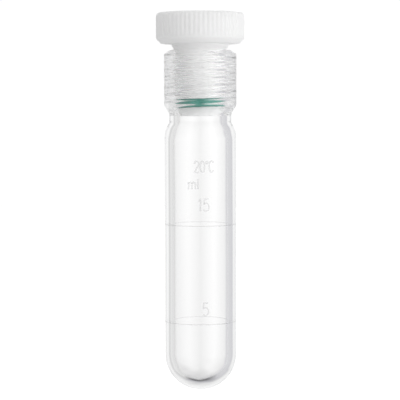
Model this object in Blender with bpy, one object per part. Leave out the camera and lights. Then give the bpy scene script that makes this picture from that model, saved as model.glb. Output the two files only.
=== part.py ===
"""Heavy-wall glass test tube with a threaded neck, its screw plug and the plug's sealing ring.

Run it with blender --background --python part.py, or from Blender's text editor.
Units are metres and +Z is up. The origin is the lowest point of the glass, on the tube's axis.
"""

import math

import bmesh
import bpy
from mathutils import Vector

MM = 0.001

# Glass body: a straight tube with a round bottom
BODY_RADIUS = 12.5 * MM
BORE_RADIUS = 9.67 * MM
BOTTOM_WALL = 3.25 * MM
CUP_FULLNESS = 2.12  # 2 would make the bottom of the bore a half sphere

# Waist between the body and the neck, with a soft shoulder on the body's side
WAIST_RADIUS = 10.85 * MM
WAIST_BORE_RADIUS = 7.8 * MM
SHOULDER_LOW = 88.7 * MM
SHOULDER_HIGH = 94.35 * MM
BORE_SHOULDER_LOW = 87.2 * MM
BORE_SHOULDER_HIGH = 93.8 * MM
SHOULDER_POWER = 3.2  # the higher, the later the shoulder turns in

# Neck, whose outside is smooth and bevelled at both ends
NECK_RADIUS = 12.7 * MM
NECK_LOW = 96.95 * MM
NECK_FULL_LOW = 99.75 * MM
NECK_FULL_HIGH = 117.8 * MM
RIM_RADIUS = 11.2 * MM
RIM_HIGH = 119.15 * MM
RIM_ROUND = 0.3 * MM

# Seat under the thread, where the ring seals: the neck's bore tapers to the waist's
NECK_BORE_RADIUS = 9.3 * MM
SEAT_HIGH = 99.1 * MM
SEAT_LOW = 96.5 * MM

# Thread: right-hand, moulded in the neck and cut on the plug
PITCH = 2.54 * MM
NECK_ROOT_RADIUS = 10.0 * MM
NECK_THREAD_LOW = 98.6 * MM
PLUG_ROOT_RADIUS = 8.7 * MM
PLUG_CREST_RADIUS = 9.7 * MM
PLUG_THREAD_LOW = 102.9 * MM
PLUG_THREAD_HIGH = 116.6 * MM
THREAD_FADE = 0.6 * PITCH

# Volume lines engraved round the body: 10 ml lies between them
BORE_AREA = math.pi * BORE_RADIUS**2
LOW_LINE = 24.3 * MM
LINE_SPACING = 10e-6 / BORE_AREA
LINE_WIDTH = 0.35 * MM
LINE_DEPTH = 0.09 * MM

# Screw plug
NOSE_LOW = 96.15 * MM
NOSE_TIP_RADIUS = 7.45 * MM
NOSE_FULL_LOW = 97.5 * MM
NOSE_RADIUS = 7.65 * MM
NECKED_RADIUS = 8.95 * MM
COLLAR_RADIUS = 9.9 * MM
COLLAR_LOW = 119.1 * MM
COLLAR_FULL_LOW = 120.4 * MM
HEAD_LOW = 121.25 * MM
HEAD_HIGH = 132.1 * MM
HEAD_RADIUS = 15.4 * MM
HEAD_LOW_BEVEL = 1.75 * MM
HEAD_TOP_ROUND = 1.65 * MM
RIB_COUNT = 60
RIB_DEPTH = 0.35 * MM
RIB_RUN_OUT = 0.35 * MM

# Sealing ring in the plug's groove
RING_RADIUS = 7.85 * MM
RING_SECTION = 1.0 * MM
RING_HEIGHT = 100.95 * MM
RING_GAP = 0.3 * MM

# Faceting
COLUMNS = 36
ROWS_PER_TURN = 6
ARC_STEP = math.radians(15)
RING_SIDES = 12

SHARP_ANGLE = math.radians(30)
WELD = 1e-6


def clear_scene():
    for old in list(bpy.data.objects):
        bpy.data.objects.remove(old, do_unlink=True)


def make_material(name, colour, roughness, transmission=0.0):
    material = bpy.data.materials.new(name)
    material.use_nodes = True
    shader = material.node_tree.nodes["Principled BSDF"]
    shader.inputs["Base Color"].default_value = (*colour, 1.0)
    shader.inputs["Roughness"].default_value = roughness
    shader.inputs["Metallic"].default_value = 0.0
    shader.inputs["Transmission Weight"].default_value = transmission
    return material


def arc(centre, radius, start, end):
    """Profile points (r, z) along an arc, both ends included, angles from +r towards +z."""
    steps = max(1, round(abs(end - start) / ARC_STEP))
    angles = [start + (end - start) * step / steps for step in range(steps + 1)]
    return [
        (max(0.0, centre[0] + radius * math.cos(a)), centre[1] + radius * math.sin(a))
        for a in angles
    ]


def cup(bottom, radius):
    """Profile points of the bore's rounded bottom, from the wall down to the axis."""
    power = 2 / CUP_FULLNESS
    steps = round(math.pi / 2 / ARC_STEP)
    points = []
    for step in range(steps + 1):
        angle = math.pi / 2 * step / steps
        r = radius * max(0.0, math.cos(angle)) ** power
        depth = radius * math.sin(angle) ** power
        points.append((r if step < steps else 0.0, bottom + radius - depth))
    return points


def shoulder(low, high, steps=6):
    """Profile points of a round shoulder from low to high, both (r, z), with a small fillet at the top."""
    points = []
    for step in range(steps + 1):
        t = step / steps
        blend = t**SHOULDER_POWER * (1 + SHOULDER_POWER * (1 - t))
        points.append((low[0] + (high[0] - low[0]) * blend, low[1] + (high[1] - low[1]) * t))
    return points


def rows(radius, low, high):
    """Profile points of one radius from low to high, close enough to carry the thread."""
    count = round((high - low) / PITCH * ROWS_PER_TURN)
    return [(radius, low + (high - low) * row / count) for row in range(count + 1)]


def turn(profile, columns=COLUMNS, radius_at=None, closed=False):
    """A mesh turned about Z from (r, z) points; radius_at(r, z, angle) reshapes it."""
    mesh = bmesh.new()
    verts = [mesh.verts.new((r, 0.0, z)) for r, z in profile]
    edges = [mesh.edges.new(pair) for pair in zip(verts, verts[1:])]
    if closed:
        edges.append(mesh.edges.new((verts[-1], verts[0])))
    bmesh.ops.spin(
        mesh,
        geom=verts + edges,
        cent=(0, 0, 0),
        axis=(0, 0, 1),
        angle=math.tau,
        steps=columns,
        use_merge=False,
    )
    bmesh.ops.remove_doubles(mesh, verts=mesh.verts, dist=WELD)
    if radius_at:
        for vert in mesh.verts:
            radius = vert.co.xy.length
            if radius > WELD:
                angle = math.atan2(vert.co.y, vert.co.x)
                vert.co.xy *= radius_at(radius, vert.co.z, angle) / radius
    bmesh.ops.recalc_face_normals(mesh, faces=mesh.faces)
    return mesh


def to_object(mesh, name, material):
    """Puts a mesh in the scene as a smooth-shaded object that keeps its sharp edges."""
    data = bpy.data.meshes.new(name)
    mesh.to_mesh(data)
    mesh.free()
    data.shade_smooth()
    data.set_sharp_from_angle(angle=SHARP_ANGLE)
    data.materials.append(material)
    made = bpy.data.objects.new(name, data)
    bpy.context.collection.objects.link(made)
    return made


def wave(z, angle):
    """1 on the neck thread's root and the plug thread's crest, -1 half a turn away."""
    return -math.cos(math.tau * z / PITCH - angle)


def fade(z, low, high):
    """0 at the thread's ends, rising to 1 within THREAD_FADE of them."""
    inside = min(z - low, high - z) / THREAD_FADE
    inside = min(1.0, max(0.0, inside))
    return inside * inside * (3 - 2 * inside)


def neck_radius(radius, z, angle):
    """The bore of the neck with its thread, which runs out through the rim's flare."""
    if z < NECK_THREAD_LOW or radius > NECK_ROOT_RADIUS:
        return radius
    depth = (NECK_ROOT_RADIUS - NECK_BORE_RADIUS) / 2
    open_end = RIM_HIGH + THREAD_FADE
    strength = fade(z, NECK_THREAD_LOW, open_end)
    flare = max(0.0, z - RIM_HIGH + RIM_ROUND)
    return NECK_BORE_RADIUS + flare + depth * strength * (1 + wave(z, angle))


def plug_radius(radius, z, angle):
    """The plug's shank with its thread."""
    if not PLUG_THREAD_LOW < z < PLUG_THREAD_HIGH:
        return radius
    depth = (PLUG_CREST_RADIUS - PLUG_ROOT_RADIUS) / 2
    strength = fade(z, PLUG_THREAD_LOW, PLUG_THREAD_HIGH)
    return PLUG_ROOT_RADIUS + depth * strength * (1 + wave(z, angle))


def engraved_line(height):
    """Profile points of a shallow groove round the body."""
    half = LINE_WIDTH / 2
    floor = BODY_RADIUS - LINE_DEPTH
    return [
        (BODY_RADIUS, height - half),
        (floor, height - half / 2),
        (floor, height + half / 2),
        (BODY_RADIUS, height + half),
    ]


def glass_tube():
    """The one-piece glass: up its outside from the bottom's lowest point, over the rim and down inside."""
    outside = arc((0, BODY_RADIUS), BODY_RADIUS, -math.pi / 2, 0)
    outside += engraved_line(LOW_LINE)
    outside += engraved_line(LOW_LINE + LINE_SPACING)
    outside += shoulder((BODY_RADIUS, SHOULDER_LOW), (WAIST_RADIUS, SHOULDER_HIGH))
    outside += [
        (WAIST_RADIUS, NECK_LOW),
        (NECK_RADIUS, NECK_FULL_LOW),
        (NECK_RADIUS, NECK_FULL_HIGH),
        (RIM_RADIUS, RIM_HIGH - RIM_ROUND),
        (RIM_RADIUS - RIM_ROUND, RIM_HIGH),
    ]
    inside = list(reversed(rows(NECK_BORE_RADIUS, NECK_THREAD_LOW, RIM_HIGH)))
    inside += [(NECK_BORE_RADIUS, SEAT_HIGH), (WAIST_BORE_RADIUS, SEAT_LOW)]
    bore_low = (BORE_RADIUS, BORE_SHOULDER_LOW)
    bore_high = (WAIST_BORE_RADIUS, BORE_SHOULDER_HIGH)
    inside += list(reversed(shoulder(bore_low, bore_high)))
    inside += cup(BOTTOM_WALL, BORE_RADIUS)
    glass = make_material("clear_glass", (0.96, 0.98, 0.97), 0.02, transmission=1.0)
    return to_object(turn(outside + inside, radius_at=neck_radius), "glass_tube", glass)


def head_radius(radius, z, angle):
    """The head's ribs: columns fall on crests and valleys in turn."""
    rib_low = HEAD_LOW + HEAD_LOW_BEVEL + RIB_RUN_OUT
    rib_high = HEAD_HIGH - HEAD_TOP_ROUND / 2
    column = round(angle / math.tau * 2 * RIB_COUNT)
    in_valley = column % 2 == 1
    if in_valley and rib_low - WELD < z < rib_high:
        return radius - RIB_DEPTH
    return radius


def plug_head():
    """The knurled head, as a guide that the plug's shank is joined to."""
    corner = (HEAD_RADIUS - HEAD_TOP_ROUND, HEAD_HIGH - HEAD_TOP_ROUND)
    bevel_high = HEAD_LOW + HEAD_LOW_BEVEL
    profile = [
        (0, HEAD_LOW),
        (HEAD_RADIUS - HEAD_LOW_BEVEL, HEAD_LOW),
        (HEAD_RADIUS, bevel_high),
        (HEAD_RADIUS, bevel_high + RIB_RUN_OUT),
    ]
    profile += arc(corner, HEAD_TOP_ROUND, 0, math.pi / 2)
    profile.append((0, HEAD_HIGH))
    return turn(profile, columns=2 * RIB_COUNT, radius_at=head_radius)


def screw_plug():
    """Nose, ring groove, threaded shank and collar, joined to the knurled head."""
    groove_radius = RING_RADIUS - RING_SECTION - RING_GAP
    groove_low = RING_HEIGHT - RING_SECTION - RING_GAP
    groove_high = RING_HEIGHT + RING_SECTION + RING_GAP
    inside_head = (HEAD_LOW + HEAD_HIGH) / 2
    profile = [
        (0, NOSE_LOW),
        (NOSE_TIP_RADIUS, NOSE_LOW),
        (NOSE_RADIUS, NOSE_FULL_LOW),
        (NOSE_RADIUS, groove_low),
        (groove_radius, groove_low),
        (groove_radius, groove_high),
        (PLUG_ROOT_RADIUS, groove_high),
    ]
    profile += rows(PLUG_ROOT_RADIUS, PLUG_THREAD_LOW, PLUG_THREAD_HIGH)
    profile += [
        (NECKED_RADIUS, PLUG_THREAD_HIGH + NECKED_RADIUS - PLUG_ROOT_RADIUS),
        (NECKED_RADIUS, COLLAR_LOW),
        (COLLAR_RADIUS, COLLAR_FULL_LOW),
        (COLLAR_RADIUS, inside_head),
        (0, inside_head),
    ]
    ptfe = make_material("white_ptfe", (0.86, 0.86, 0.85), 0.45)
    plug = to_object(turn(profile, radius_at=plug_radius), "screw_plug", ptfe)
    head = to_object(plug_head(), "head_guide", ptfe)
    head.hide_render = True
    head.display_type = "WIRE"
    join = plug.modifiers.new("head", "BOOLEAN")
    join.operation = "UNION"
    join.solver = "EXACT"
    join.object = head
    return plug


def o_ring():
    """The sealing ring, round in section."""
    section = []
    for side in range(RING_SIDES):
        angle = math.tau * side / RING_SIDES
        section.append(
            (
                RING_RADIUS + RING_SECTION * math.cos(angle),
                RING_HEIGHT + RING_SECTION * math.sin(angle),
            )
        )
    rubber = make_material("green_rubber", (0.02, 0.22, 0.16), 0.5)
    return to_object(turn(section, closed=True), "o_ring", rubber)


def main():
    clear_scene()
    pieces = [glass_tube(), o_ring(), screw_plug()]
    tube_axis = bpy.data.objects.new("tube_axis", None)
    bpy.context.collection.objects.link(tube_axis)
    tube_axis.location = Vector((0.0, 0.0, 0.0))
    for piece in pieces:
        piece.parent = tube_axis


main()
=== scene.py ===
"""The looks of a heavy-wall test tube: glass, white screw plug, green sealing ring and etched marks."""

import math

import bmesh
import bpy
import numpy as np
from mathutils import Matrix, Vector


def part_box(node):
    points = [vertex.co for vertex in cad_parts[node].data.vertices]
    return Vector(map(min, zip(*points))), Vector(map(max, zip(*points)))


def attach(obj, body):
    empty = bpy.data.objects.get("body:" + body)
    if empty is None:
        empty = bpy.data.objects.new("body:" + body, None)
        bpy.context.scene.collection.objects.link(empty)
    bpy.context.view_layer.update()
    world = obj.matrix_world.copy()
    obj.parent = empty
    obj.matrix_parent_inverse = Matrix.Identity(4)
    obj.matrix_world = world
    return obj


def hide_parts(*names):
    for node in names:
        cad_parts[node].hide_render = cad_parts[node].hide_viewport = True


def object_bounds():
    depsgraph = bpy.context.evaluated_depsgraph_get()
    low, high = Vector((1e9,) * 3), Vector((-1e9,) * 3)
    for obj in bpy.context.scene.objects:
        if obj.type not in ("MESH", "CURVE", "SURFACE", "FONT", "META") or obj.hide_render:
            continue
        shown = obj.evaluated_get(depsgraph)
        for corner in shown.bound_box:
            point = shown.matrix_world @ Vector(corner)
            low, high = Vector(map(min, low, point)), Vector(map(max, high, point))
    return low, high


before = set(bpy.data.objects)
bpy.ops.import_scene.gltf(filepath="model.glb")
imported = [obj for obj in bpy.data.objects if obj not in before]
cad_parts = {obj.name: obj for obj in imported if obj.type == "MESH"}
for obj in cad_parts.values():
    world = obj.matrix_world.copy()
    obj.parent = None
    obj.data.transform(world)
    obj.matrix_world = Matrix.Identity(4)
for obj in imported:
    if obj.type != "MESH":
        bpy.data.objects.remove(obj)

CAD_LOW, CAD_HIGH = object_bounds()
TUBE_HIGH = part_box("glass_tube")[1]
PLUG_LOW, PLUG_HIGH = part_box("screw_plug")
RING_LOW, RING_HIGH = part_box("o_ring")

MM = 0.001

# Glass, in the frame's metres
BODY_RADIUS = 12.5 * MM
BORE_RADIUS = 9.67 * MM
BOTTOM_WALL = 3.25 * MM
CUP_FULLNESS = 2.12
WAIST_RADIUS = 10.85 * MM
WAIST_BORE_RADIUS = 7.8 * MM
SHOULDER_LOW = 88.7 * MM
SHOULDER_HIGH = 94.35 * MM
BORE_SHOULDER_LOW = 87.2 * MM
BORE_SHOULDER_HIGH = 93.8 * MM
SHOULDER_POWER = 3.2
NECK_RADIUS = TUBE_HIGH.x
NECK_LOW = 96.95 * MM
NECK_FULL_LOW = 99.75 * MM
NECK_FULL_HIGH = 117.8 * MM
RIM_RADIUS = 11.2 * MM
RIM_HIGH = TUBE_HIGH.z
RIM_DROP = 0.25 * MM
NECK_BORE_RADIUS = 9.3 * MM
SEAT_HIGH = 99.1 * MM
SEAT_LOW = 96.5 * MM
DRAWN_WAVE = 0.012 * MM
BOTTOM_WAVE_SHARE = 0.004

# Thread. The seam of the neck's mould makes its grooves shallower at one bearing.
PITCH = 2.54 * MM
NECK_ROOT_RADIUS = 10.0 * MM
NECK_THREAD_LOW = 98.6 * MM
PLUG_ROOT_RADIUS = 8.7 * MM
PLUG_CREST_RADIUS = 9.7 * MM
PLUG_THREAD_LOW = 102.9 * MM
PLUG_THREAD_HIGH = 116.6 * MM
THREAD_FADE = 0.6 * PITCH
THREAD_FLARE = 0.3 * MM
SEAM_BEARING = math.radians(268)
SEAM_WIDTH = math.radians(5)
SEAM_SHARE = 0.35

# Plug
HEAD_RADIUS = PLUG_HIGH.x
HEAD_HIGH = PLUG_HIGH.z
HEAD_LOW = 121.25 * MM
HEAD_LOW_BEVEL = 1.75 * MM
HEAD_TOP_ROUND = 1.65 * MM
COLLAR_RADIUS = 9.9 * MM
COLLAR_LOW = 119.1 * MM
COLLAR_FULL_LOW = 120.4 * MM
NECKED_RADIUS = 8.95 * MM
NOSE_RADIUS = 7.65 * MM
NOSE_TIP_RADIUS = 7.45 * MM
NOSE_FULL_LOW = 97.5 * MM
NOSE_LOW = PLUG_LOW.z
RIB_COUNT = 60
RIB_DEPTH = 0.35 * MM
RIB_LOW = HEAD_LOW + HEAD_LOW_BEVEL + 0.35 * MM
RIB_RUN_OUT = 0.5 * MM

# Sealing ring
RING_SECTION = (RING_HIGH.z - RING_LOW.z) / 2
RING_RADIUS = RING_HIGH.x - RING_SECTION
RING_MIDDLE = (RING_HIGH.z + RING_LOW.z) / 2
GROOVE_GAP = 0.3 * MM

# Volume lines: 10 ml lies between them
LOW_LINE = 24.3 * MM
HIGH_LINE = LOW_LINE + 10e-6 / (math.pi * BORE_RADIUS**2)
LINE_WIDTH = 0.3 * MM
STROKE_WIDTH = 0.58 * MM
STROKE_STEP = 0.15 * MM
MARK_GAP = 0.004 * MM
MARK_DEPTH = 0.02 * MM

# Each label's name, words, height, left end and foot, then its characters' squeeze and spacing
LABELS = [
    ("label_20_C", "20°C", 3.8 * MM, -2.1 * MM, 76.9 * MM, 0.8, 0.11),
    ("label_ml", "ml", 3.5 * MM, -4.15 * MM, 71.1 * MM, 1.12, 0.22),
    ("label_15", "15", 4.2 * MM, -0.75 * MM, 63.55 * MM, 0.92, 0.13),
    ("label_5", "5", 4.3 * MM, 0.65 * MM, 27.5 * MM, 0.95, 0.14),
]

# Fineness of the meshes
GLASS_COLUMNS = 192
PLUG_COLUMNS = 480
RING_COLUMNS = 48
ROW_STEP = 1.4 * MM
THREAD_STEP = PITCH / 16


# Shapes


def rounded(corners, steps=6):
    """An (r, z) outline from (r, z, cut) corners, each corner rounded over cut metres of both sides."""
    points = []
    for index, (r, z, cut) in enumerate(corners):
        here = np.array([r, z])
        if cut == 0 or index in (0, len(corners) - 1):
            points.append(here)
            continue
        before = np.array(corners[index - 1][:2]) - here
        after = np.array(corners[index + 1][:2]) - here
        first = here + before / np.linalg.norm(before) * cut
        last = here + after / np.linalg.norm(after) * cut
        for t in np.linspace(0, 1, steps + 1):
            points.append((1 - t) ** 2 * first + 2 * t * (1 - t) * here + t**2 * last)
    return np.array(points)


def arc(centre_z, radius, start, end, steps):
    """An arc about a centre on the axis, angles in radians up from level."""
    angles = np.linspace(start, end, steps + 1)
    return np.column_stack(
        [np.maximum(0, radius * np.cos(angles)), centre_z + radius * np.sin(angles)]
    )


def cup(bottom, radius, steps):
    """The bore's rounded bottom, from the wall down to the axis, a little fuller than a half sphere."""
    angles = np.linspace(0, math.pi / 2, steps + 1)
    power = 2 / CUP_FULLNESS
    across = radius * np.maximum(0, np.cos(angles)) ** power
    across[-1] = 0
    return np.column_stack([across, bottom + radius - radius * np.sin(angles) ** power])


def shoulder(low, high, steps=32):
    """A round shoulder from low to high, both (r, z), with a small fillet at the top."""
    t = np.linspace(0, 1, steps + 1)
    blend = t**SHOULDER_POWER * (1 + SHOULDER_POWER * (1 - t))
    return np.column_stack(
        [low[0] + (high[0] - low[0]) * blend, low[1] + (high[1] - low[1]) * t]
    )


def even(points, step_at):
    """The outline with its long runs split, so that shading and thread have rows to follow."""
    made = [points[0]]
    for start, end in zip(points, points[1:]):
        length = np.linalg.norm(end - start)
        if length < 1e-9:
            continue
        count = max(1, math.ceil(length / step_at((start + end) / 2) - 1e-6))
        for row in range(1, count + 1):
            made.append(start + (end - start) * row / count)
    return np.array(made)


def turned(name, outline, columns, radius_at, closed=False):
    """A mesh turned about Z; points on the axis become poles."""
    angles = np.arange(columns) * math.tau / columns
    points, faces, rings = [], [], []
    for r, z in outline:
        if r < 1e-7:
            rings.append([len(points)])
            points.append((0.0, 0.0, z))
            continue
        radii = radius_at(np.full(columns, r), np.full(columns, z), angles)
        rings.append(list(range(len(points), len(points) + columns)))
        points.extend(zip(radii * np.cos(angles), radii * np.sin(angles), np.full(columns, z)))
    pairs = list(zip(rings, rings[1:]))
    if closed:
        pairs.append((rings[-1], rings[0]))
    for low, high in pairs:
        for a in range(columns):
            b = (a + 1) % columns
            if len(low) == 1:
                faces.append((low[0], high[b], high[a]))
            elif len(high) == 1:
                faces.append((low[a], low[b], high[0]))
            else:
                faces.append((low[a], low[b], high[b], high[a]))
    mesh = bpy.data.meshes.new(name)
    mesh.from_pydata(points, [], faces)
    mesh.validate()
    mesh.shade_smooth()
    made = bpy.data.objects.new(name, mesh)
    bpy.context.scene.collection.objects.link(made)
    return made


def wave(z, angle):
    """1 on the neck thread's root and the plug thread's crest, -1 half a turn away."""
    return -np.cos(math.tau * z / PITCH - angle)


def fade(z, low, high):
    """The thread's share of its full depth, which grows from nothing at low and at high."""
    inside = np.clip(np.minimum(z - low, high - z) / THREAD_FADE, 0, 1)
    return inside * inside * (3 - 2 * inside)


def wavy_radius(radius, z, angle):
    """Slight unevenness along the drawn bore and in the round bottom."""
    if radius[0] >= WAIST_RADIUS - 0.5 * MM:
        return radius
    if z[0] > BOTTOM_WALL + BORE_RADIUS:
        drawn = np.sin(3 * angle + 40 * z) + 0.6 * np.sin(5 * angle - 90 * z)
        return radius + DRAWN_WAVE * drawn
    if z[0] > BOTTOM_WALL - 0.01 * MM and radius[0] < BORE_RADIUS:
        lumps = np.sin(4 * angle + 900 * z) + 0.7 * np.sin(7 * angle - 1500 * z + 1)
        from_wall = np.clip((BORE_RADIUS - radius) / MM, 0, 1)
        return radius * (1 + BOTTOM_WAVE_SHARE * lumps * from_wall)
    return radius


def glass_radius(radius, z, angle):
    """The neck's bore with its thread, which runs out through the rim. The rest is slightly wavy."""
    if radius[0] > NECK_ROOT_RADIUS or z[0] < NECK_THREAD_LOW:
        return wavy_radius(radius, z, angle)
    depth = (NECK_ROOT_RADIUS - NECK_BORE_RADIUS) / 2
    strength = fade(z, NECK_THREAD_LOW, RIM_HIGH + THREAD_FADE)
    flare = np.clip(z - RIM_HIGH + THREAD_FLARE, 0, None)
    from_seam = (angle - SEAM_BEARING + math.pi) % math.tau - math.pi
    seam = 1 - SEAM_SHARE * np.exp(-((from_seam / SEAM_WIDTH) ** 2))
    return radius + flare + depth * strength * seam * (1 + wave(z, angle))


def plug_radius(radius, z, angle):
    """The plug's thread and the head's ribs."""
    if z[0] > RIB_LOW and radius[0] > HEAD_RADIUS - HEAD_TOP_ROUND:
        share = np.clip((z - RIB_LOW) / RIB_RUN_OUT, 0, 1)
        share = share * np.clip((radius - HEAD_RADIUS + HEAD_TOP_ROUND) / HEAD_TOP_ROUND, 0, 1)
        groove = (1 - np.cos(angle * RIB_COUNT)) / 2
        return radius - RIB_DEPTH * share * groove
    if PLUG_THREAD_LOW < z[0] < PLUG_THREAD_HIGH:
        depth = (PLUG_CREST_RADIUS - PLUG_ROOT_RADIUS) / 2
        strength = fade(z, PLUG_THREAD_LOW, PLUG_THREAD_HIGH)
        return radius + depth * strength * (1 + wave(z, angle))
    return radius


def row_step(place):
    """The length of a row of faces at an (r, z) place, finer in the neck."""
    r, z = place
    threaded = SEAT_LOW < z < RIM_HIGH and r < NECK_ROOT_RADIUS
    return THREAD_STEP if threaded else ROW_STEP


def glass_piece():
    """The tube in one piece: outside, rim, threaded throat, bore and round bottom."""
    bottom = arc(BODY_RADIUS, BODY_RADIUS, -math.pi / 2, 0, 40)
    body = np.array([(BODY_RADIUS, BODY_RADIUS), (BODY_RADIUS, SHOULDER_LOW)])
    turn_in = shoulder((BODY_RADIUS, SHOULDER_LOW), (WAIST_RADIUS, SHOULDER_HIGH))
    neck = rounded(
        [
            (WAIST_RADIUS, SHOULDER_HIGH, 0),
            (WAIST_RADIUS, NECK_LOW, 1.0 * MM),
            (NECK_RADIUS, NECK_FULL_LOW, 0.8 * MM),
            (NECK_RADIUS, NECK_FULL_HIGH, 0.5 * MM),
            (RIM_RADIUS, RIM_HIGH - RIM_DROP, 0.5 * MM),
            (NECK_ROOT_RADIUS + 0.35 * MM, RIM_HIGH, 0),
        ]
    )
    throat = rounded(
        [
            (NECK_BORE_RADIUS, RIM_HIGH, 0),
            (NECK_BORE_RADIUS, SEAT_HIGH, 0.2 * MM),
            (WAIST_BORE_RADIUS, SEAT_LOW, 0.6 * MM),
            (WAIST_BORE_RADIUS, BORE_SHOULDER_HIGH, 0),
        ]
    )
    bore_low = (BORE_RADIUS, BORE_SHOULDER_LOW)
    bore_high = (WAIST_BORE_RADIUS, BORE_SHOULDER_HIGH)
    bore = shoulder(bore_low, bore_high)[::-1]
    bowl = cup(BOTTOM_WALL, BORE_RADIUS, 60)
    outline = np.concatenate([bottom, body[1:], turn_in[1:], neck[1:], throat, bore[1:], bowl])
    piece = turned("glass_body", even(outline, row_step), GLASS_COLUMNS, glass_radius)
    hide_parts("glass_tube")
    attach(piece, "tube")
    return piece


def plug_piece():
    """The plug in one piece: nose, ring groove, thread, collar and ribbed head."""
    groove_floor = RING_RADIUS - RING_SECTION - GROOVE_GAP
    groove_low = RING_LOW.z - GROOVE_GAP
    groove_high = RING_HIGH.z + GROOVE_GAP
    outline = rounded(
        [
            (0, NOSE_LOW, 0),
            (NOSE_TIP_RADIUS, NOSE_LOW, 0.15 * MM),
            (NOSE_RADIUS, NOSE_FULL_LOW, 0.2 * MM),
            (NOSE_RADIUS, groove_low, 0.12 * MM),
            (groove_floor, groove_low, 0.12 * MM),
            (groove_floor, groove_high, 0.12 * MM),
            (PLUG_ROOT_RADIUS, groove_high, 0.12 * MM),
            (PLUG_ROOT_RADIUS, PLUG_THREAD_HIGH, 0.1 * MM),
            (NECKED_RADIUS, PLUG_THREAD_HIGH + NECKED_RADIUS - PLUG_ROOT_RADIUS, 0.1 * MM),
            (NECKED_RADIUS, COLLAR_LOW, 0.2 * MM),
            (COLLAR_RADIUS, COLLAR_FULL_LOW, 0.3 * MM),
            (COLLAR_RADIUS, HEAD_LOW, 0.25 * MM),
            (HEAD_RADIUS - HEAD_LOW_BEVEL, HEAD_LOW, 0.3 * MM),
            (HEAD_RADIUS, HEAD_LOW + HEAD_LOW_BEVEL, 0.3 * MM),
            (HEAD_RADIUS, HEAD_HIGH, HEAD_TOP_ROUND),
            (0, HEAD_HIGH, 0),
        ],
        steps=10,
    )
    piece = turned("plug_body", even(outline, row_step), PLUG_COLUMNS, plug_radius)
    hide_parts("screw_plug")
    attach(piece, "plug")
    return piece


def ring_piece():
    """The sealing ring, unsqueezed in its groove."""
    angles = np.arange(RING_COLUMNS) * math.tau / RING_COLUMNS
    section = np.column_stack(
        [RING_RADIUS + RING_SECTION * np.cos(angles), RING_MIDDLE + RING_SECTION * np.sin(angles)]
    )
    piece = turned("seal_ring", section, GLASS_COLUMNS, lambda r, z, a: r, closed=True)
    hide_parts("o_ring")
    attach(piece, "seal")
    return piece


def line_piece(name, height):
    """A thin frosted band round the body, at one of its volume lines."""
    half = LINE_WIDTH / 2
    low = BODY_RADIUS + MARK_GAP
    high = low + MARK_DEPTH
    section = np.array(
        [(low, height - half), (high, height - half), (high, height + half), (low, height + half)]
    )
    piece = turned(name, section, GLASS_COLUMNS, lambda r, z, a: r, closed=True)
    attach(piece, "tube")
    return piece


def curve_points(centre, radii, start, end, steps=24):
    """Points along part of an ellipse, angles in degrees from +x towards +y."""
    angles = np.radians(np.linspace(start, end, steps + 1))
    return [
        (centre[0] + radii[0] * math.cos(a), centre[1] + radii[1] * math.sin(a)) for a in angles
    ]


def glyph(character):
    """(width, strokes) of a character one unit tall; a stroke is (points, closed)."""
    if character == "0":
        return 0.52, [(curve_points((0.26, 0.5), (0.26, 0.5), 90, 450, 40)[:-1], True)]
    if character == "1":
        return 0.3, [([(0.02, 0.78), (0.2, 1.0), (0.2, 0.0)], False)]
    if character == "2":
        bowl = curve_points((0.25, 0.73), (0.25, 0.27), 170, -35)
        return 0.52, [(bowl + [(0.0, 0.0), (0.52, 0.0)], False)]
    if character == "5":
        bowl = curve_points((0.24, 0.32), (0.27, 0.32), 130, -140)
        return 0.52, [([(0.47, 1.0), (0.1, 1.0)] + bowl, False)]
    if character == "C":
        return 0.54, [(curve_points((0.29, 0.5), (0.29, 0.5), 40, 320, 36), False)]
    if character == "°":
        return 0.22, [(curve_points((0.11, 0.87), (0.11, 0.12), 90, 450)[:-1], True)]
    if character == "l":
        return 0.04, [([(0.02, 0.0), (0.02, 1.0)], False)]
    arch = curve_points((0.17, 0.5), (0.14, 0.17), 170, 0, 12)
    first = [(x - 0.01, y) for x, y in arch] + [(0.3, 0.0)]
    second = [(x + 0.3, y) for x, y in arch] + [(0.61, 0.0)]
    return 0.63, [([(0.0, 0.0), (0.0, 0.68)], False), (first, False), (second, False)]


def stroke_stations(points, closed, step):
    """The stroke's corners and steps between them, each with its sideways direction."""
    points = [np.array(p) for p in points]
    ends = points + points[:1] if closed else points
    fine = [ends[0]]
    for start, end in zip(ends, ends[1:]):
        length = np.linalg.norm(end - start)
        count = max(1, math.ceil(length / step))
        for i in range(1, count):
            along = length * i / count
            if min(along, length - along) > STROKE_WIDTH / 2:
                fine.append(start + (end - start) * i / count)
        fine.append(end)
    if closed:
        fine.pop()
    stations = []
    last = len(fine) - 1
    for i, point in enumerate(fine):
        before = fine[i - 1] if i > 0 or closed else point
        after = fine[(i + 1) % len(fine)] if i < last or closed else point
        sides = []
        for a, b in ((before, point), (point, after)):
            run = b - a
            if np.linalg.norm(run) > 1e-9:
                sides.append(np.array([-run[1], run[0]]) / np.linalg.norm(run))
        side = sum(sides) / len(sides)
        stations.append((point, side / max(0.35, float(side @ side))))
    return stations


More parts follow.
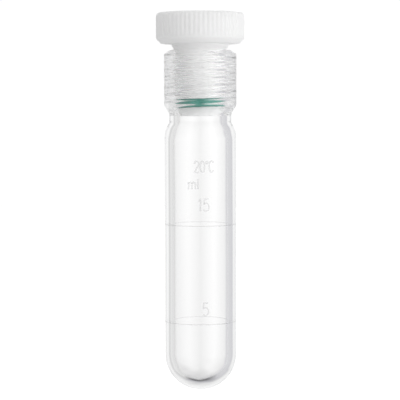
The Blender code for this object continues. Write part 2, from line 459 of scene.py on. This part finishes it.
def label_piece(name, words, height, left_x, low_z, squeeze, spacing):
    """Frosted characters on the front of the body, in strokes of even width wrapped round it."""
    work = bmesh.new()
    cursor = 0.0
    for character in words:
        width, strokes = glyph(character)
        for points, closed in strokes:
            flat = [((x * squeeze + cursor) * height, y * height) for x, y in points]
            stations = stroke_stations(flat, closed, STROKE_STEP)
            rings = []
            for point, side in stations:
                ring = []
                for way, rise in ((-1, 0), (1, 0), (1, 1), (-1, 1)):
                    x, z = point + side * way * STROKE_WIDTH / 2
                    radius = BODY_RADIUS + MARK_GAP + rise * MARK_DEPTH
                    angle = (left_x + x) / BODY_RADIUS
                    corner = (radius * math.sin(angle), -radius * math.cos(angle), low_z + z)
                    ring.append(work.verts.new(corner))
                rings.append(ring)
            pairs = list(zip(rings, rings[1:]))
            if closed:
                pairs.append((rings[-1], rings[0]))
            else:
                work.faces.new(rings[0])
                work.faces.new(rings[-1])
            for a, b in pairs:
                for i in range(4):
                    j = (i + 1) % 4
                    work.faces.new((a[i], a[j], b[j], b[i]))
        cursor += width * squeeze + spacing
    bmesh.ops.recalc_face_normals(work, faces=work.faces)
    mesh = bpy.data.meshes.new(name)
    work.to_mesh(mesh)
    work.free()
    piece = bpy.data.objects.new(name, mesh)
    bpy.context.scene.collection.objects.link(piece)
    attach(piece, "tube")
    return piece


# Materials

# A Mix node has its own sockets for each kind of value: the first, the second and the result
MIX_VALUES = (2, 3, 0)
MIX_COLOURS = (6, 7, 2)


class Tree:
    """Short ways to add shader nodes to a tree and to join them."""

    def __init__(self, tree):
        self.tree = tree

    def add(self, kind, **properties):
        node = self.tree.nodes.new(kind)
        for key, value in properties.items():
            setattr(node, key, value)
        return node

    def link(self, source, target):
        self.tree.links.new(source, target)

    def split(self, vector):
        node = self.add("ShaderNodeSeparateXYZ")
        self.link(vector, node.inputs["Vector"])
        return node.outputs

    def span(self, source, low, high, from_low=0.0, from_high=1.0):
        """Low to high, as the source goes from from_low to from_high, and no further."""
        node = self.add("ShaderNodeMapRange")
        node.inputs["From Min"].default_value = from_low
        node.inputs["From Max"].default_value = from_high
        node.inputs["To Min"].default_value = low
        node.inputs["To Max"].default_value = high
        self.link(source, node.inputs["Value"])
        return node.outputs["Result"]

    def ramp(self, source, stops):
        """A colour ramp through (position, colour) stops, where one number is a grey."""
        node = self.add("ShaderNodeValToRGB")
        elements = node.color_ramp.elements
        while len(elements) < len(stops):
            elements.new(0.5)
        for element, (position, colour) in zip(elements, stops):
            if isinstance(colour, float):
                colour = (colour, colour, colour)
            element.position = position
            element.color = (*colour, 1)
        self.link(source, node.inputs["Fac"])
        return node.outputs["Color"]

    def mix(self, share, low, high, sockets, **properties):
        """Low where the share is 0. Where it is 1, high, or low and high blended as blend_type says."""
        node = self.add("ShaderNodeMix", **properties)
        if isinstance(share, bpy.types.NodeSocket):
            self.link(share, node.inputs["Factor"])
        else:
            node.inputs["Factor"].default_value = share
        first, second, result = sockets
        self.link(low, node.inputs[first])
        self.link(high, node.inputs[second])
        return node.outputs[result]


class Surface(Tree):
    """One material, with its noises and bumps laid out in the object's own space."""

    def __init__(self, name):
        self.material = bpy.data.materials.new(name)
        self.material.use_nodes = True
        super().__init__(self.material.node_tree)
        self.shader = self.tree.nodes["Principled BSDF"]
        self.place = self.add("ShaderNodeTexCoord").outputs["Object"]

    def noise(self, scale, detail=4.0, stretch=(1, 1, 1)):
        mapping = self.add("ShaderNodeMapping")
        mapping.inputs["Scale"].default_value = stretch
        self.link(self.place, mapping.inputs["Vector"])
        noise = self.add("ShaderNodeTexNoise")
        noise.inputs["Scale"].default_value = scale
        noise.inputs["Detail"].default_value = detail
        self.link(mapping.outputs["Vector"], noise.inputs["Vector"])
        return noise.outputs["Fac"]

    def bump(self, height, distance, strength, below=None):
        node = self.add("ShaderNodeBump")
        node.inputs["Distance"].default_value = distance
        node.inputs["Strength"].default_value = strength
        self.link(height, node.inputs["Height"])
        if below is not None:
            self.link(below, node.inputs["Normal"])
        return node.outputs["Normal"]

    def in_thread(self):
        """1 on the glass of the neck's moulded thread, 0 elsewhere."""
        place = self.split(self.place)
        flat = self.add("ShaderNodeCombineXYZ")
        self.link(place["X"], flat.inputs["X"])
        self.link(place["Y"], flat.inputs["Y"])
        length = self.add("ShaderNodeVectorMath", operation="LENGTH")
        self.link(flat.outputs["Vector"], length.inputs[0])
        thread_edge = NECK_ROOT_RADIUS + 0.1 * MM
        outer_edge = NECK_ROOT_RADIUS + 0.4 * MM
        inside = self.span(length.outputs["Value"], 1, 0, thread_edge, outer_edge)
        above = self.span(place["Z"], 0, 1, SEAT_LOW, SEAT_HIGH)
        both = self.add("ShaderNodeMath", operation="MULTIPLY")
        self.link(inside, both.inputs[0])
        self.link(above, both.inputs[1])
        return both.outputs["Value"]

    def set(self, **values):
        for key, value in values.items():
            socket = self.shader.inputs[key.replace("_", " ")]
            if isinstance(value, bpy.types.NodeSocket):
                self.link(value, socket)
            else:
                socket.default_value = value


def glass_material():
    """Clear borosilicate glass: faintly hazy where polished, rougher on the moulded thread."""
    nodes = Surface("clear_borosilicate_glass")
    haze = nodes.noise(220, detail=5)
    draw = nodes.noise(260, detail=2, stretch=(1, 1, 0.12))
    polished = nodes.span(haze, 0.0, 0.012, 0.35, 0.75)
    moulded = nodes.span(haze, 0.2, 0.26, 0.35, 0.75)
    nodes.set(
        Base_Color=(0.99, 0.99, 0.99, 1),
        Transmission_Weight=1.0,
        IOR=1.473,
        Roughness=nodes.mix(nodes.in_thread(), polished, moulded, MIX_VALUES),
        Normal=nodes.bump(draw, 0.02 * MM, 0.25),
    )
    return nodes.material


def ptfe_material():
    """White PTFE: waxy, slightly cloudy, with fine turning marks."""
    nodes = Surface("white_turned_ptfe")
    cloud = nodes.noise(160, detail=5)
    grain = nodes.noise(2600, detail=3)
    turning = nodes.noise(900, detail=2, stretch=(0.02, 0.02, 3.0))
    nodes.set(
        Base_Color=nodes.ramp(cloud, [(0.3, (0.955, 0.955, 0.955)), (0.7, (0.985, 0.985, 0.985))]),
        Roughness=nodes.span(cloud, 0.36, 0.5),
        Subsurface_Weight=0.65,
        Subsurface_Scale=16.0 * MM,
        Subsurface_Radius=(1.0, 1.0, 1.0),
        IOR=1.38,
        Normal=nodes.bump(turning, 0.03 * MM, 0.35, below=nodes.bump(grain, 0.01 * MM, 0.3)),
    )
    return nodes.material


def rubber_material():
    """Teal-green rubber with a fine moulded skin."""
    nodes = Surface("teal_rubber")
    tone = nodes.noise(500, detail=4)
    skin = nodes.noise(4000, detail=2)
    nodes.set(
        Base_Color=nodes.ramp(tone, [(0.3, (0.04, 0.28, 0.22)), (0.7, (0.065, 0.35, 0.28))]),
        Roughness=nodes.span(tone, 0.35, 0.5),
        Normal=nodes.bump(skin, 0.01 * MM, 0.4),
    )
    return nodes.material


def frosted_material(name, faintest, strongest):
    """Etched marks: a thin frost that lets most of the light through, unevenly worn. Its dark grey is
    painted shade, standing in for the light from behind that the frost holds back.
    """
    nodes = Surface(name)
    wear = nodes.noise(900, detail=3)
    nodes.set(
        # Painted shade: these dark greys darken the marks in place of the back light they block; the
        # noise varies them at random as wear.
        Base_Color=nodes.ramp(wear, [(0.35, (0.37, 0.37, 0.375)), (0.65, (0.44, 0.44, 0.445))]),
        Alpha=nodes.span(wear, faintest, strongest, 0.35, 0.65),
        Roughness=nodes.span(wear, 0.5, 0.75),
        Normal=nodes.bump(wear, 0.01 * MM, 0.4),
    )
    return nodes.material


# Studio

TENT_WHITE = 1.02
KEY_PLACE = (0.55, -0.4, 0.1)
KEY_AIM = (0, 0, 0.12)
KEY_SIZE = 0.3
KEY_POWER = 0.88
FLOOR_HEIGHT = -0.3
FLOOR_HALF_WIDTH = 6.0
CAMERA_PLACE = (-0.15 * MM, -0.6, 100.4 * MM)
CAMERA_AIM_ABOVE_MIDDLE = 0.65 * MM
CAMERA_ROLL = math.radians(-0.12)
LENS_MM = 154.3
SENSOR_MM = 36


def turn_share(degrees):
    """Where a bearing, 0 behind the tube and positive to the right, lies on the tent's ramp."""
    return (degrees + 180) / 360


def rise_share(degrees):
    """Where an elevation lies on the tent's ramp."""
    return (math.sin(math.radians(degrees)) + 1) / 2


SIDE_STOPS = [
    (turn_share(-180), 0.4),
    (turn_share(-166), 0.7),
    (turn_share(-120), 0.68),
    (turn_share(-70), 0.68),
    (turn_share(-52), 0.78),
    (turn_share(-42), 0.8),
    (turn_share(-37), 0.66),
    (turn_share(-29), 0.68),
    (turn_share(-22), 0.96),
    (turn_share(-12), 1.0),
    (turn_share(-7), 1.03),
    (turn_share(-4.5), 1.06),
    (turn_share(-2), 1.0),
    (turn_share(1), 1.0),
    (turn_share(3), 1.03),
    (turn_share(5.5), 1.08),
    (turn_share(8), 1.03),
    (turn_share(13), 0.97),
    (turn_share(20), 0.93),
    (turn_share(28), (0.6, 0.6, 0.63)),
    (turn_share(70), (0.75, 0.75, 0.76)),
    (turn_share(110), 1.05),
    (turn_share(150), 1.05),
    (turn_share(180), 0.4),
]

HEIGHT_STOPS = [
    (rise_share(-90), 0.3),
    (rise_share(-70), 0.18),
    (rise_share(-58), (0.17, 0.17, 0.18)),
    (rise_share(-50), (0.46, 0.46, 0.49)),
    (rise_share(-38), (0.65, 0.65, 0.66)),
    (rise_share(-25), 0.8),
    (rise_share(-12), 0.93),
    (rise_share(0), 1.0),
    (rise_share(90), 1.0),
]

BESIDE_HEIGHT_STOPS = [
    (rise_share(-90), 0.3),
    (rise_share(-64), 0.25),
    (rise_share(-56), 0.6),
    (rise_share(-46), 0.92),
    (rise_share(-30), 1.0),
    (rise_share(90), 1.0),
]

# Levels from left to right on matt surfaces in the open, and on those behind the glass
MATT_STOPS = [(0.0, 0.52), (0.5, 0.77), (1.0, 0.745)]
GLAZED_STOPS = [(0.0, 0.42), (0.5, 0.86), (1.0, 1.0)]

BESIDE_STOPS = [
    (turn_share(-32), 1.0),
    (turn_share(-22), 0.0),
    (turn_share(20), 0.0),
    (turn_share(30), 1.0),
]


def tent_colour(sky, direction):
    """The tent that glass shows: greyer at its sides, and dark below except beside the tube."""
    turn = sky.add("ShaderNodeMath", operation="ARCTAN2")
    sky.link(direction["X"], turn.inputs[0])
    sky.link(direction["Y"], turn.inputs[1])
    around = sky.span(turn.outputs["Value"], 0, 1, -math.pi, math.pi)
    rise = sky.span(direction["Z"], 0, 1, -1, 1)
    ahead_and_behind = sky.ramp(rise, HEIGHT_STOPS)
    beside = sky.ramp(rise, BESIDE_HEIGHT_STOPS)
    share_beside = sky.ramp(around, BESIDE_STOPS)
    by_height = sky.mix(share_beside, ahead_and_behind, beside, MIX_COLOURS, data_type="RGBA")
    by_side = sky.ramp(around, SIDE_STOPS)
    return sky.mix(1, by_side, by_height, MIX_COLOURS, data_type="RGBA", blend_type="MULTIPLY")


def matt_colour(sky, direction, glass_depth):
    """The soft light on matt surfaces, dimmer from the left and stronger through glass."""
    across = sky.span(direction["X"], 0, 1, -1, 1)
    behind_glass = sky.span(glass_depth, 0, 1)
    bare = sky.ramp(across, MATT_STOPS)
    glazed = sky.ramp(across, GLAZED_STOPS)
    return sky.mix(behind_glass, bare, glazed, MIX_COLOURS, data_type="RGBA")


def studio_world():
    """A light tent: pure white to the camera, soft and even on matt surfaces, and shaded in glass."""
    world = bpy.data.worlds.new("light_tent")
    bpy.context.scene.world = world
    world.use_nodes = True
    world.node_tree.nodes.clear()
    sky = Tree(world.node_tree)
    direction = sky.split(sky.add("ShaderNodeTexCoord").outputs["Generated"])
    paths = sky.add("ShaderNodeLightPath").outputs

    tent = sky.add("ShaderNodeBackground")
    sky.link(tent_colour(sky, direction), tent.inputs["Color"])
    soft = sky.add("ShaderNodeBackground")
    sky.link(matt_colour(sky, direction, paths["Transmission Depth"]), soft.inputs["Color"])
    white = sky.add("ShaderNodeBackground")
    white.inputs["Color"].default_value = (1, 1, 1, 1)
    white.inputs["Strength"].default_value = TENT_WHITE

    seen = tent.outputs["Background"]
    for share, other in ((paths["Diffuse Depth"], soft), (paths["Is Camera Ray"], white)):
        choice = sky.add("ShaderNodeMixShader")
        sky.link(share, choice.inputs[0])
        sky.link(seen, choice.inputs[1])
        sky.link(other.outputs["Background"], choice.inputs[2])
        seen = choice.outputs["Shader"]
    out = sky.add("ShaderNodeOutputWorld")
    sky.link(seen, out.inputs["Surface"])


def key_light():
    """A soft light from the right, which only matt surfaces show."""
    data = bpy.data.lights.new("key", "AREA")
    data.energy = KEY_POWER
    data.size = KEY_SIZE
    light = bpy.data.objects.new("key", data)
    bpy.context.scene.collection.objects.link(light)
    light.location = KEY_PLACE
    light.rotation_euler = (Vector(KEY_AIM) - Vector(KEY_PLACE)).to_track_quat("-Z", "Y").to_euler()
    light.visible_glossy = False
    light.visible_transmission = False


def studio_floor():
    """A white floor well below the hanging tube. Glass looks through it to the tent's dark base."""
    size = FLOOR_HALF_WIDTH
    mesh = bpy.data.meshes.new("studio_floor")
    corners = [(-size, -size, 0), (size, -size, 0), (size, size, 0), (-size, size, 0)]
    mesh.from_pydata(corners, [], [(0, 1, 2, 3)])
    floor = bpy.data.objects.new("studio_floor", mesh)
    floor.location.z = FLOOR_HEIGHT
    bpy.context.scene.collection.objects.link(floor)
    material = bpy.data.materials.new("white_floor")
    material.use_nodes = True
    shader = material.node_tree.nodes["Principled BSDF"]
    shader.inputs["Base Color"].default_value = (0.9, 0.9, 0.9, 1)
    shader.inputs["Roughness"].default_value = 0.8
    shader.inputs["Emission Color"].default_value = (1, 1, 1, 1)
    shader.inputs["Emission Strength"].default_value = 0.6
    mesh.materials.append(material)
    floor.visible_transmission = False
    floor.visible_glossy = False
    floor.visible_diffuse = False
    floor.visible_shadow = False


def studio_camera():
    """At the height of the neck, looking slightly down at the middle of the object."""
    data = bpy.data.cameras.new("camera")
    data.sensor_width = SENSOR_MM
    data.lens = LENS_MM
    data.clip_start = 0.01
    data.clip_end = 20
    camera = bpy.data.objects.new("camera", data)
    bpy.context.scene.collection.objects.link(camera)
    camera.location = CAMERA_PLACE
    middle = (CAD_HIGH.z + CAD_LOW.z) / 2
    aim = Vector((CAMERA_PLACE[0], 0, middle + CAMERA_AIM_ABOVE_MIDDLE))
    camera.rotation_euler = (aim - camera.location).to_track_quat("-Z", "Y").to_euler()
    camera.rotation_euler.rotate_axis("Z", CAMERA_ROLL)
    bpy.context.scene.camera = camera


def render_look():
    """Plain colours, and enough bounces for light to pass the neck's many faces."""
    scene = bpy.context.scene
    scene.view_settings.view_transform = "Standard"
    scene.view_settings.look = "None"
    scene.cycles.max_bounces = 96
    scene.cycles.transmission_bounces = 96
    scene.cycles.glossy_bounces = 64
    scene.cycles.diffuse_bounces = 12
    scene.cycles.use_denoising = True


def dress(piece, material):
    piece.data.materials.append(material)


def main():
    glass = glass_piece()
    glass.visible_shadow = False
    dress(glass, glass_material())
    dress(plug_piece(), ptfe_material())
    dress(ring_piece(), rubber_material())
    line_frost = frosted_material("etched_lines", 0.12, 0.17)
    dress(line_piece("line_5_ml", LOW_LINE), line_frost)
    dress(line_piece("line_15_ml", HIGH_LINE), line_frost)
    label_frost = frosted_material("etched_characters", 0.1, 0.125)
    for label in LABELS:
        dress(label_piece(*label), label_frost)
    studio_floor()
    studio_world()
    key_light()
    studio_camera()
    render_look()


main()
